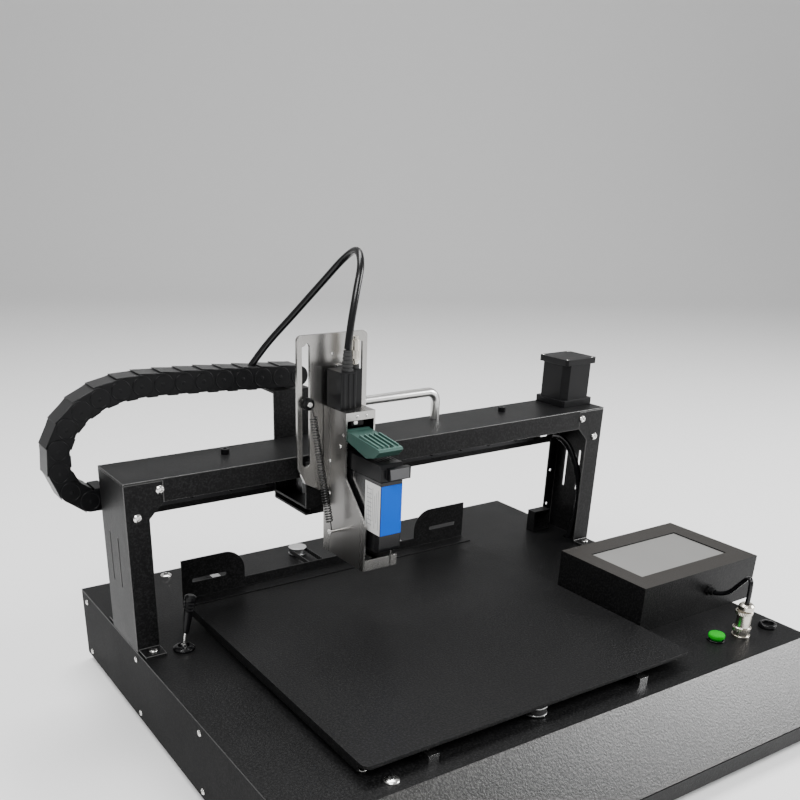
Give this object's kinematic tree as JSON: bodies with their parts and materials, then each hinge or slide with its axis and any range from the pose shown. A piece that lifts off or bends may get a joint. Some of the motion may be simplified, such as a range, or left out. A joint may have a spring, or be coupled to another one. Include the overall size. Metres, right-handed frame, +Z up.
{
  "type": "date code inkjet printer",
  "caption": "Flatbed date code inkjet printer: sliding bed on a sheet-metal base, fixed gantry with a belt-driven ink cartridge head, touch panel.",
  "frame": {"origin": "underside of the middle rubber foot, below the middle of the deck", "axes": "+Z up, -Y towards the operator, +X to the operator's right along the gantry beam"},
  "size_m": [0.7846, 0.626, 0.524],
  "materials": {
    "rubber": "matt moulded rubber",
    "powder_black": "fine textured black powder coat on folded steel",
    "case_black": "fine textured dark grey powder coat",
    "black_plastic": "moulded black plastic",
    "screw_steel": "nickel plated steel",
    "steel_rail": "ground steel",
    "black_oxide": "black oxide ground steel",
    "stainless": "brushed stainless steel sheet",
    "aluminium": "machined aluminium",
    "polished_metal": "satin bright metal",
    "belt_rubber": "toothed neoprene belt",
    "motor_black": "satin black motor housing",
    "cable_black": "smooth black cable sheath",
    "green_plastic": "moulded dark green plastic",
    "green_lens": "bright green translucent lens",
    "screen_glass": "satin grey screen, switched off",
    "circuit_board": "green solder resist"
  },
  "bodies": {
    "frame": {"rubber_feet": "rubber", "base_pan": "powder_black", "deck_cover": "powder_black", "left_side_panel": "powder_black", "right_side_panel": "powder_black", "rear_panel": "powder_black", "power_inlet": "black_plastic", "deck_screws": "screw_steel", "panel_screws": "screw_steel", "power_supply": "aluminium", "control_board": "circuit_board", "left_column": "powder_black", "right_column": "powder_black", "beam_cover": "powder_black", "gantry_screws": "screw_steel", "carry_handle": "polished_metal", "x_motor": "motor_black", "idler_axles": "screw_steel", "x_belt": "belt_rubber", "x_rail": "black_oxide", "cable_chain": "black_plastic", "chain_anchor": "powder_black", "column_conduit": "cable_black", "conduit_cover": "powder_black", "y_rails": "steel_rail", "y_belt": "belt_rubber", "y_motor": "motor_black", "panel_case": "case_black", "touch_screen": "screen_glass", "panel_cable": "cable_black", "deck_controls": "black_plastic"},
    "x_pulley": {"x_drive_pulley": "aluminium"},
    "x_idler": {"x_idler_pulley": "aluminium"},
    "carriage": {"x_rail_block": "steel_rail", "carriage_bracket": "powder_black", "belt_clamp": "aluminium", "slot_plate": "stainless", "z_rail": "steel_rail", "chain_arm": "powder_black", "head_cable": "cable_black"},
    "knob": {"clamp_knob": "black_plastic"},
    "head": {"head_housing": "stainless", "head_block": "black_plastic", "z_rail_block": "steel_rail", "head_connector": "black_plastic", "cable_boot": "black_plastic", "metal_connector": "polished_metal", "head_pins": "screw_steel", "tension_spring": "screw_steel"},
    "cartridge": {"ink_cartridge": "black_plastic", "cartridge_cap": "black_plastic"},
    "latch": {"latch_lever": "green_plastic"},
    "bed": {"bed_plate": "powder_black", "rear_fence": "powder_black", "bed_blocks": "steel_rail"},
    "y_pulley": {"y_drive_pulley": "aluminium"},
    "y_idler": {"y_idler_pulley": "aluminium"},
    "start": {"start_button": "green_lens"},
    "power": {"power_button": "black_plastic"},
    "lever": {"jog_lever": "black_plastic"}
  },
  "joints": [
    {"name": "x_slide", "type": "slide", "parent": "frame", "child": "carriage", "axis": [1, 0, 0], "range_m": [-0.15, 0.28], "deforming": ["cable_chain"]},
    {"name": "z_slide", "type": "slide", "parent": "carriage", "child": "head", "axis": [0, 0, 1], "range_m": [-0.012, 0.05], "deforming": ["tension_spring", "head_cable"]},
    {"name": "knob_turn", "type": "hinge", "parent": "carriage", "child": "knob", "pos_m": [-0.14, 0.061, 0.365], "axis": [0, 1, 0], "continuous": true},
    {"name": "latch_hinge", "type": "hinge", "parent": "head", "child": "latch", "pos_m": [-0.118, 0.018, 0.336], "axis": [1, 0, 0], "range_deg": [-50, 0]},
    {"name": "cartridge_pull", "type": "slide", "parent": "head", "child": "cartridge", "axis": [0, -1, 0], "range_m": [0, 0.1]},
    {"name": "bed_slide", "type": "slide", "parent": "frame", "child": "bed", "axis": [0, 1, 0], "range_m": [-0.12, 0.2]},
    {"name": "x_pulley_spin", "type": "hinge", "parent": "frame", "child": "x_pulley", "pos_m": [0.322, 0.131, 0.27], "axis": [0, 0, 1], "range_deg": [-1400, 1400]},
    {"name": "x_idler_spin", "type": "hinge", "parent": "frame", "child": "x_idler", "pos_m": [-0.322, 0.131, 0.27], "axis": [0, 0, 1], "range_deg": [-1400, 1400]},
    {"name": "y_pulley_spin", "type": "hinge", "parent": "frame", "child": "y_pulley", "pos_m": [-0.05, 0.245, 0.108], "axis": [0, 0, 1], "range_deg": [-1200, 1200]},
    {"name": "y_idler_spin", "type": "hinge", "parent": "frame", "child": "y_idler", "pos_m": [-0.05, -0.245, 0.108], "axis": [0, 0, 1], "range_deg": [-1200, 1200]},
    {"name": "start_press", "type": "slide", "parent": "frame", "child": "start", "axis": [0, 0, -1], "range_m": [0, 0.002], "stiffness_N_per_m": 400},
    {"name": "power_press", "type": "slide", "parent": "frame", "child": "power", "axis": [0, 0, -1], "range_m": [0, 0.002], "stiffness_N_per_m": 400},
    {"name": "lever_tilt", "type": "hinge", "parent": "frame", "child": "lever", "pos_m": [-0.301, 0.062, 0.104], "axis": [0, 1, 0], "range_deg": [-22, 0]}
  ],
  "couplings": [
    {"joint": "x_pulley_spin", "follows": "x_slide", "rad_per_m": 76.628},
    {"joint": "x_idler_spin", "follows": "x_slide", "rad_per_m": 76.628},
    {"joint": "y_pulley_spin", "follows": "bed_slide", "rad_per_m": -90.498},
    {"joint": "y_idler_spin", "follows": "bed_slide", "rad_per_m": -90.498}
  ]
}
